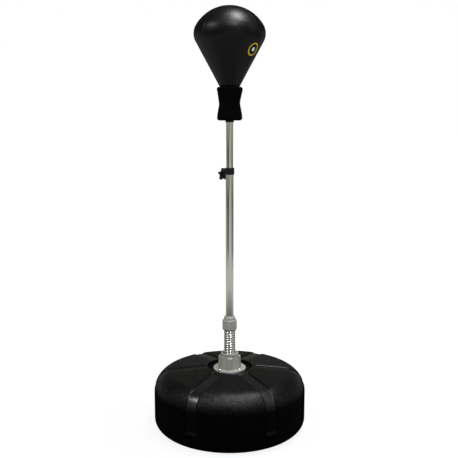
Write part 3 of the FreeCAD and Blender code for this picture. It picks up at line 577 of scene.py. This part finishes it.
white_nylon = moulded_plastic("white_nylon", (0.66, 0.65, 0.6), (0.74, 0.73, 0.69),
                              0.45, 0.001, 0.00003, 0.4)
for inner in ("pressure_pad", "tube_glide", "tube_top_plug"):
    wear(nodes[inner], white_nylon)
for moulding in ("clamp_collar", "ball_stem"):
    wear(nodes[moulding], black_nylon)


# ---- Star knob ---------------------------------------------------------------------------------
# The clamp's hand knob in black nylon: five blunt points between deep round scallops, one point
# up, with a rounded rim. It stands for the clamp_knob node, whose solid lacks those scallops.

KNOB_AZIMUTH, KNOB_HEIGHT, KNOB_START = math.radians(136), 0.802, 0.0216
KNOB_RADIUS, KNOB_THICKNESS, KNOB_EDGE = 0.019, 0.0124, 0.003
SCALLOP_RADIUS, SCALLOP_CENTRE = 0.0105, 0.0225


def star_knob():
    """A five-pointed outline carried along the clamp's axis, one point up. Between points the
    radius is the near side of a round scallop, c cos a - sqrt(s^2 - c^2 sin^2 a), and never more
    than the knob's own radius. Both faces round off at the rim as a quarter circle."""
    turn = np.linspace(0, 2 * math.pi, 200, endpoint=False)
    beside = (turn % (2 * math.pi / 5)) - math.pi / 5
    inside = np.maximum(SCALLOP_RADIUS ** 2 - (SCALLOP_CENTRE * np.sin(beside)) ** 2, 0)
    cut = SCALLOP_CENTRE * np.cos(beside) - np.sqrt(inside)
    outline = np.minimum(KNOB_RADIUS, np.where(inside > 0, cut, KNOB_RADIUS))
    bend = np.linspace(0, math.pi / 2, 7)
    edge = KNOB_EDGE * np.stack([1 - np.sin(bend), 1 - np.cos(bend)], axis=-1)
    drawn_in = np.concatenate([edge[:, 0], edge[::-1, 0]])[:, None]
    along = np.concatenate([edge[:, 1], KNOB_THICKNESS - edge[::-1, 1]])[:, None]
    reach = outline - drawn_in
    axis = np.array([math.cos(KNOB_AZIMUTH), math.sin(KNOB_AZIMUTH), 0])
    side = np.array([math.sin(KNOB_AZIMUTH), -math.cos(KNOB_AZIMUTH), 0])
    up = np.array([0, 0, 1])
    near_face = axis * KNOB_START + up * KNOB_HEIGHT
    rows = (near_face + (reach * np.cos(turn))[..., None] * up
            + (reach * np.sin(turn))[..., None] * side
            + (along + 0 * turn)[..., None] * axis)
    return skin("star_knob", rows, tuple(near_face), tuple(near_face + axis * KNOB_THICKNESS))


star = star_knob()
wear(star, black_nylon)
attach(star, "clamp_knob")
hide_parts("clamp_knob")


# ---- Neck sleeve -------------------------------------------------------------------------------
# A tube of soft black foam in a knitted cover, pushed over the stem under the ball. It is waisted
# by its cover, with rounded ends.

SLEEVE_LOW, SLEEVE_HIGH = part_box("neck_sleeve")[0][2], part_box("neck_sleeve")[1][2]
SLEEVE_FOOT, SLEEVE_WAIST, SLEEVE_TOP = 0.0387, 0.0322, 0.0408
SLEEVE_WAIST_AT, SLEEVE_ROUNDING, SLEEVE_BORE = 0.5, 0.008, 0.0162
SOFTNESS_ABOVE, SOFTNESS_BELOW = 0.2, 0.15


def sleeve_surface():
    """Rings whose radius swells from the waist to both ends as the square root of the share's
    square plus a little, as a sine of it below the waist. The ends are rounded off as a quarter
    ellipse, and the soft foam wobbles slowly round the tube. A plain bore joins the ends."""
    length = SLEEVE_HIGH - SLEEVE_LOW
    run = (1 - np.cos(np.linspace(0, math.pi, 96))) / 2
    above = np.clip((run - SLEEVE_WAIST_AT) / (1 - SLEEVE_WAIST_AT), 0, 1)
    below = np.clip((SLEEVE_WAIST_AT - run) / SLEEVE_WAIST_AT, 0, 1)
    above = ((np.hypot(above, SOFTNESS_ABOVE) - SOFTNESS_ABOVE)
             / (math.hypot(1, SOFTNESS_ABOVE) - SOFTNESS_ABOVE))
    below = ((np.hypot(below, SOFTNESS_BELOW) - SOFTNESS_BELOW)
             / (math.hypot(1, SOFTNESS_BELOW) - SOFTNESS_BELOW))
    below = np.sin(below * math.pi / 2)
    side = SLEEVE_WAIST + (SLEEVE_TOP - SLEEVE_WAIST) * above + (SLEEVE_FOOT - SLEEVE_WAIST) * below
    near = np.minimum(run, 1 - run) * length / SLEEVE_ROUNDING
    inward = 1 - np.sqrt(1 - (1 - np.clip(near, 0, 1)) ** 2)
    angles = np.linspace(0, 2 * math.pi, 120, endpoint=False)
    wobble = (0.0003 * np.sin(3 * angles + 9 * run[:, None])
              + 0.0002 * np.sin(7 * angles - 14 * run[:, None] + 1.3))
    rings = (side - SLEEVE_ROUNDING * inward)[:, None] + wobble * smooth_step(near)[:, None]
    height = (SLEEVE_LOW + run * length)[:, None] + 0 * angles
    outer = np.stack([rings * np.cos(angles), rings * np.sin(angles), height], axis=-1)
    within = np.array([[SLEEVE_HIGH - 0.001], [SLEEVE_LOW + 0.003]]) + 0 * angles
    bore = np.stack([SLEEVE_BORE * np.cos(angles) + 0 * within,
                     SLEEVE_BORE * np.sin(angles) + 0 * within, within], axis=-1)
    return skin("neck_foam", np.concatenate([outer, bore]), loop=True)


neck_foam = sleeve_surface()
neck_cloth, tree, shader = material("knitted_neck_cloth", (0.0008, 0.0008, 0.0009), 0.9,
                                    Specular_IOR_Level=0.04)
where = place(tree, "TexCoord").outputs["Object"]
knit = place(tree, "TexVoronoi", {"feature": "F1"}, Vector=where, Scale=900.0)
relief(tree, shader, knit.outputs["Distance"], 0.0002)
worn = place(tree, "TexNoise", Vector=where, Scale=70.0, Detail=3.0)
rubbed = blend_colour(tree, worn.outputs["Fac"], (0.0006, 0.0006, 0.0006), (0.0011, 0.0011, 0.0012))
tree.links.new(rubbed, shader.inputs["Base Color"])
wear(neck_foam, neck_cloth)
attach(neck_foam, "upper_mast")
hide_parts("neck_sleeve")


# ---- Ball --------------------------------------------------------------------------------------
# A teardrop cover sewn from four panels of smooth black coated leather, blown tight by a rubber
# bladder. The seams are turned inside, so they show as fine grooves.

BALL_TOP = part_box("ball_cover")[1][2]
BALL_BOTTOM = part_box("ball_cover")[0][2]
BALL_RADIUS, CROWN_RADIUS, SIDE_RADIUS = 0.1082, 0.119, 0.0482
CONE_ANGLE = math.radians(28.6)
SEAM_TURN = math.radians(45)
SEAM_DEPTH, SEAM_WIDTH, PANEL_FULLNESS = 0.0006, 0.0013, 0.0004
PANELS = 4
OUTLINE_STEPS = 56


def ball_outline(steps):
    """Radius and height of the teardrop from neck to crown: a straight cone, an arc round the
    widest part tangent to it, and a flatter crown arc about the axis."""
    crown_z = BALL_TOP - CROWN_RADIUS
    side_x = BALL_RADIUS - SIDE_RADIUS
    reach = CROWN_RADIUS - SIDE_RADIUS
    side_z = crown_z + math.sqrt(reach ** 2 - side_x ** 2)
    meet = math.atan2(side_z - crown_z, side_x)
    cone_end = np.array([side_x + SIDE_RADIUS * math.cos(CONE_ANGLE),
                         side_z - SIDE_RADIUS * math.sin(CONE_ANGLE)])
    neck = np.array([cone_end[0] - (cone_end[1] - BALL_BOTTOM) * math.tan(CONE_ANGLE), BALL_BOTTOM])
    cone = neck + (cone_end - neck) * np.linspace(0, 1, steps)[:, None]
    side = np.linspace(-CONE_ANGLE, meet, steps)[1:]
    crown = np.linspace(meet, math.pi / 2, steps)[1:]
    return np.concatenate([
        cone,
        np.stack([side_x + SIDE_RADIUS * np.cos(side), side_z + SIDE_RADIUS * np.sin(side)], axis=-1),
        np.stack([CROWN_RADIUS * np.cos(crown), crown_z + CROWN_RADIUS * np.sin(crown)], axis=-1),
    ])


def ball_surface():
    """The outline carried round, each ring sunk at the seams by a narrow groove,
    depth * exp(-(distance / width)^2), where distance is measured round the ring from the
    nearest seam; between seams the panels stand a little fuller as a raised cosine."""
    outline = ball_outline(OUTLINE_STEPS)
    radius, height = outline[:-1, :1], outline[:-1, 1:]
    share = 2 * math.pi / PANELS
    half = np.concatenate([np.linspace(0, 0.10, 14), np.linspace(0.10, share / 2, 36)[1:]])
    sector = np.concatenate([-half[:0:-1], half[:-1]])
    angles = (SEAM_TURN + np.arange(PANELS)[:, None] * share + sector).reshape(-1)
    offset = (angles - SEAM_TURN + share / 2) % share - share / 2
    distance = np.abs(radius * offset)
    groove = SEAM_DEPTH * np.exp(-(distance / SEAM_WIDTH) ** 2)
    lift = smooth_step((height - BALL_BOTTOM) / 0.05)
    fuller = PANEL_FULLNESS * (np.cos(offset * PANELS) - 1) / 2 * lift
    swell = radius - groove + fuller
    rows = np.stack([swell * np.cos(angles), swell * np.sin(angles), height + 0 * angles], axis=-1)
    hem = rows[:1] * [0.96, 0.96, 1]
    mouth = rows[:1] * [0.56, 0.56, 1] + [0, 0, 0.0006]
    return skin("ball_panels", np.concatenate([mouth, hem, rows]),
                (0, 0, BALL_BOTTOM + 0.0008), (0, 0, outline[-1][1]))


ball_panels = ball_surface()
ball_leather, tree, shader = material("smooth_black_leather", (0.002, 0.002, 0.0022), 0.38)
soften(tree, shader, 0.2)
where = place(tree, "TexCoord").outputs["Object"]
creases = place(tree, "TexVoronoi", {"feature": "DISTANCE_TO_EDGE"}, Vector=where, Scale=620.0)
pores = place(tree, "TexNoise", Vector=where, Scale=1500.0, Detail=3.0)
clouds = place(tree, "TexNoise", Vector=where, Scale=26.0, Detail=4.0, Roughness=0.6)
grain_height = math_node(tree, "ADD", math_node(tree, "MINIMUM", creases.outputs["Distance"], 0.25),
                         math_node(tree, "MULTIPLY", pores.outputs["Fac"], 0.15))
relief(tree, shader, grain_height, 0.0001)
clouded = blend_colour(tree, clouds.outputs["Fac"], (0.0008, 0.0008, 0.0009), (0.0014, 0.0014, 0.0015))
tree.links.new(clouded, shader.inputs["Base Color"])
tree.links.new(between(tree, clouds.outputs["Fac"], 0.34, 0.42), shader.inputs["Roughness"])
wear(ball_panels, ball_leather)
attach(ball_panels, "upper_mast")
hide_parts("ball_cover")

bladder_rubber = moulded_plastic("red_brown_rubber", (0.14, 0.05, 0.035), (0.2, 0.075, 0.05),
                                 0.7, 0.0015, 0.00005, 0.3)
wear(nodes["ball_bladder"], bladder_rubber)
wear(nodes["bladder_valve"], black_rubber)


# ---- Aim mark ----------------------------------------------------------------------------------
# A plain printed target, a yellow ring round a white dot, to punch at. It is a skin of ink on the
# side of the ball, a fraction of a millimetre thick.

MARK_AZIMUTH = math.radians(-39)
MARK_HEIGHT = 1.171
INK_THICKNESS = 0.00025


def printed_ring(name, inner, outer, colour):
    """A flat ring of ink laid on the cone: a polar patch whose across direction is wrapped round
    the ball at its own radius and whose up direction runs along the cone's side."""
    outline = ball_outline(OUTLINE_STEPS)
    turn = np.linspace(2 * math.pi, 0, 72, endpoint=False)
    reach = np.linspace(inner, outer, 7)[:, None]
    height = MARK_HEIGHT + reach * np.sin(turn) * math.cos(CONE_ANGLE)
    radius = np.interp(height, outline[:, 1], outline[:, 0]) + INK_THICKNESS
    angle = MARK_AZIMUTH + reach * np.cos(turn) / radius
    rows = np.stack([radius * np.cos(angle), radius * np.sin(angle), height], axis=-1)
    pole = None
    if inner < 1e-4:
        rows = rows[1:]
        pole = rows[0].mean(axis=0).tolist()
    ring = skin(name, rows, pole)
    ink, tree, shader = material(name + "_ink", colour, 0.5, Specular_IOR_Level=0.3)
    where = place(tree, "TexCoord").outputs["Object"]
    specks = place(tree, "TexNoise", Vector=where, Scale=900.0, Detail=2.0)
    faded = tuple(0.72 * part for part in colour)
    tint = blend_colour(tree, specks.outputs["Fac"], faded, colour)
    tree.links.new(tint, shader.inputs["Base Color"])
    wear(ring, ink)
    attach(ring, "upper_mast")


printed_ring("aim_ring", 0.0165, 0.0200, (0.80, 0.56, 0.02))
printed_ring("aim_dot", 0.0, 0.0062, (0.82, 0.82, 0.80))


# ---- Studio ------------------------------------------------------------------------------------
# A plain pale floor that runs back to the horizon, soft lights overhead, at the left and in
# front, and a camera a little over two metres in front, at the height of the mast's clamp.

FLOOR_REACH = 40.0
floor_mesh = bpy.data.meshes.new("floor")
floor_mesh.from_pydata([(-FLOOR_REACH, -FLOOR_REACH, 0), (FLOOR_REACH, -FLOOR_REACH, 0),
                        (FLOOR_REACH, FLOOR_REACH, 0), (-FLOOR_REACH, FLOOR_REACH, 0)],
                       [], [(0, 1, 2, 3)])
floor = bpy.data.objects.new("floor", floor_mesh)
bpy.context.scene.collection.objects.link(floor)


def ramp(tree, value, stops):
    """A colour ramp over 0 to 1 with (place, grey level) stops, tinted a little green."""
    node = place(tree, "ValToRGB")
    tree.links.new(value, node.inputs["Fac"])
    points = node.color_ramp.elements
    while len(points) < len(stops):
        points.new(0.5)
    for point, (at, level) in zip(points, stops):
        point.position = at
        point.color = (level, level * 1.01, level * 0.93, 1)
    return node.outputs["Color"]


def compass(tree, vector):
    """The direction of a vector about Z as 0 to 1: the back is 0 and 1, the left 0.25 and the
    front 0.5."""
    parts = place(tree, "SeparateXYZ", Vector=vector).outputs
    turn = math_node(tree, "ARCTAN2", parts["X"], math_node(tree, "MULTIPLY", parts["Y"], -1.0))
    share = place(tree, "MapRange", Value=turn, From_Min=-math.pi, From_Max=math.pi)
    return share.outputs["Result"]


# The floor glows softly to the eye, so that it runs out to a plain white. In the bright metal it
# is a mid grey that begins a little way from the base, with darker patches farther off at the
# left and right.
floor_paint, tree, shader = material("floor_paint", (0.07, 0.07, 0.07), 0.9, Specular_IOR_Level=0.0)
ray = place(tree, "LightPath").outputs
spot = place(tree, "TexCoord").outputs["Object"]
away = place(tree, "VectorMath", {"operation": "LENGTH"})
tree.links.new(spot, away.inputs[0])
fade = place(tree, "MapRange", Value=away.outputs["Value"], From_Min=0.6, From_Max=1.2)
seen = math_node(tree, "MULTIPLY", ray["Is Camera Ray"], between(tree, fade.outputs["Result"], 0.88, 1.0))
patches = ramp(tree, compass(tree, spot), [
    (0.0, 0.5), (0.22, 0.4), (0.29, 0.28), (0.333, 0.03), (0.403, 0.03), (0.44, 0.3), (0.478, 0.55),
    (0.57, 0.55), (0.625, 0.4), (0.7, 0.2), (0.78, 0.1), (0.85, 0.12), (0.92, 0.6), (1.0, 0.5)])
far = place(tree, "MapRange", Value=away.outputs["Value"], From_Min=1.9, From_Max=2.8)
level = place(tree, "Mix", {"data_type": "FLOAT"}, Factor=far.outputs["Result"])
level.inputs["A"].default_value = 0.5
tree.links.new(patches, level.inputs["B"])
mirrored = math_node(tree, "MULTIPLY", math_node(tree, "MULTIPLY", ray["Is Glossy Ray"],
                                                 level.outputs["Result"]), fade.outputs["Result"])
spread = math_node(tree, "MULTIPLY", ray["Is Diffuse Ray"], 0.4)
glow = math_node(tree, "ADD", seen, math_node(tree, "ADD", mirrored, spread))
tree.links.new(glow, shader.inputs["Emission Strength"])
shader.inputs["Emission Color"].default_value = (1, 1, 1, 1)
wear(floor, floor_paint)


def area_light(name, place_at, aim, width, height, power):
    """A soft rectangular light turned to face a point."""
    lamp = bpy.data.lights.new(name, "AREA")
    lamp.shape = "RECTANGLE"
    lamp.size, lamp.size_y = width, height
    lamp.energy = power
    light = bpy.data.objects.new(name, lamp)
    bpy.context.scene.collection.objects.link(light)
    light.location = place_at
    way = mathutils.Vector(aim) - mathutils.Vector(place_at)
    light.rotation_euler = way.to_track_quat("-Z", "Y").to_euler()


area_light("overhead", (0.67, 0.06, 3.98), (0, 0, 0.7), 1.2, 0.9, 120)
area_light("left_window", (-2.4, -1.1, 3.1), (0, 0, 1.2), 0.9, 0.9, 30)
area_light("front_window", (0.9, -2.9, 4.6), (0, 0, 0.6), 1.3, 1.0, 110)


# The room is white to the eye. In the metal it is dark, with bright windows: low ones in front
# and at the right, and tall ones at the left, near the middle and at the far right.
world = bpy.data.worlds.new("studio")
bpy.context.scene.world = world
world.use_nodes = True
tree = world.node_tree
way = place(tree, "TexCoord").outputs["Generated"]
around = compass(tree, way)
low_room = ramp(tree, around, [(0.0, 0.55), (0.2, 0.35), (0.28, 0.2), (0.33, 0.02), (0.41, 0.03),
                               (0.45, 0.4), (0.48, 0.6), (0.57, 0.55), (0.66, 0.3), (0.77, 0.08),
                               (0.85, 0.5), (1.0, 0.55)])
high_room = ramp(tree, around, [(0.0, 0.2), (0.16, 0.05), (0.27, 0.2), (0.35, 0.9), (0.41, 0.4),
                                (0.49, 0.04), (0.55, 0.7), (0.62, 0.3), (0.72, 0.8), (0.82, 0.05),
                                (1.0, 0.2)])
rising = place(tree, "SeparateXYZ", Vector=way).outputs["Z"]
lift = place(tree, "MapRange", Value=rising, From_Min=0.03, From_Max=0.22).outputs["Result"]
room = blend_colour(tree, lift, low_room, high_room)
ray = place(tree, "LightPath").outputs
soft = blend_colour(tree, ray["Is Glossy Ray"], (0.85, 0.85, 0.85), room)
shown = blend_colour(tree, ray["Is Camera Ray"], soft, (1, 1, 1))
tree.links.new(shown, tree.nodes["Background"].inputs["Color"])

FOCAL_PIXELS, FRAME_PIXELS = 702, 458
CAMERA_DISTANCE, CAMERA_HEIGHT = 2.156, 0.953
CAMERA_PITCH, CAMERA_TURN = 0.1473, math.radians(-1.2)
CAMERA_AIM = CAMERA_TURN + 0.0009
lens = bpy.data.cameras.new("camera")
lens.sensor_width = 36
lens.lens = lens.sensor_width * FOCAL_PIXELS / FRAME_PIXELS
camera = bpy.data.objects.new("camera", lens)
bpy.context.scene.collection.objects.link(camera)
camera.location = (CAMERA_DISTANCE * math.sin(CAMERA_TURN), -CAMERA_DISTANCE * math.cos(CAMERA_TURN),
                   CAMERA_HEIGHT)
camera.rotation_euler = (math.pi / 2 - CAMERA_PITCH, 0, CAMERA_AIM)
bpy.context.scene.camera = camera
bpy.context.scene.view_settings.view_transform = "Standard"
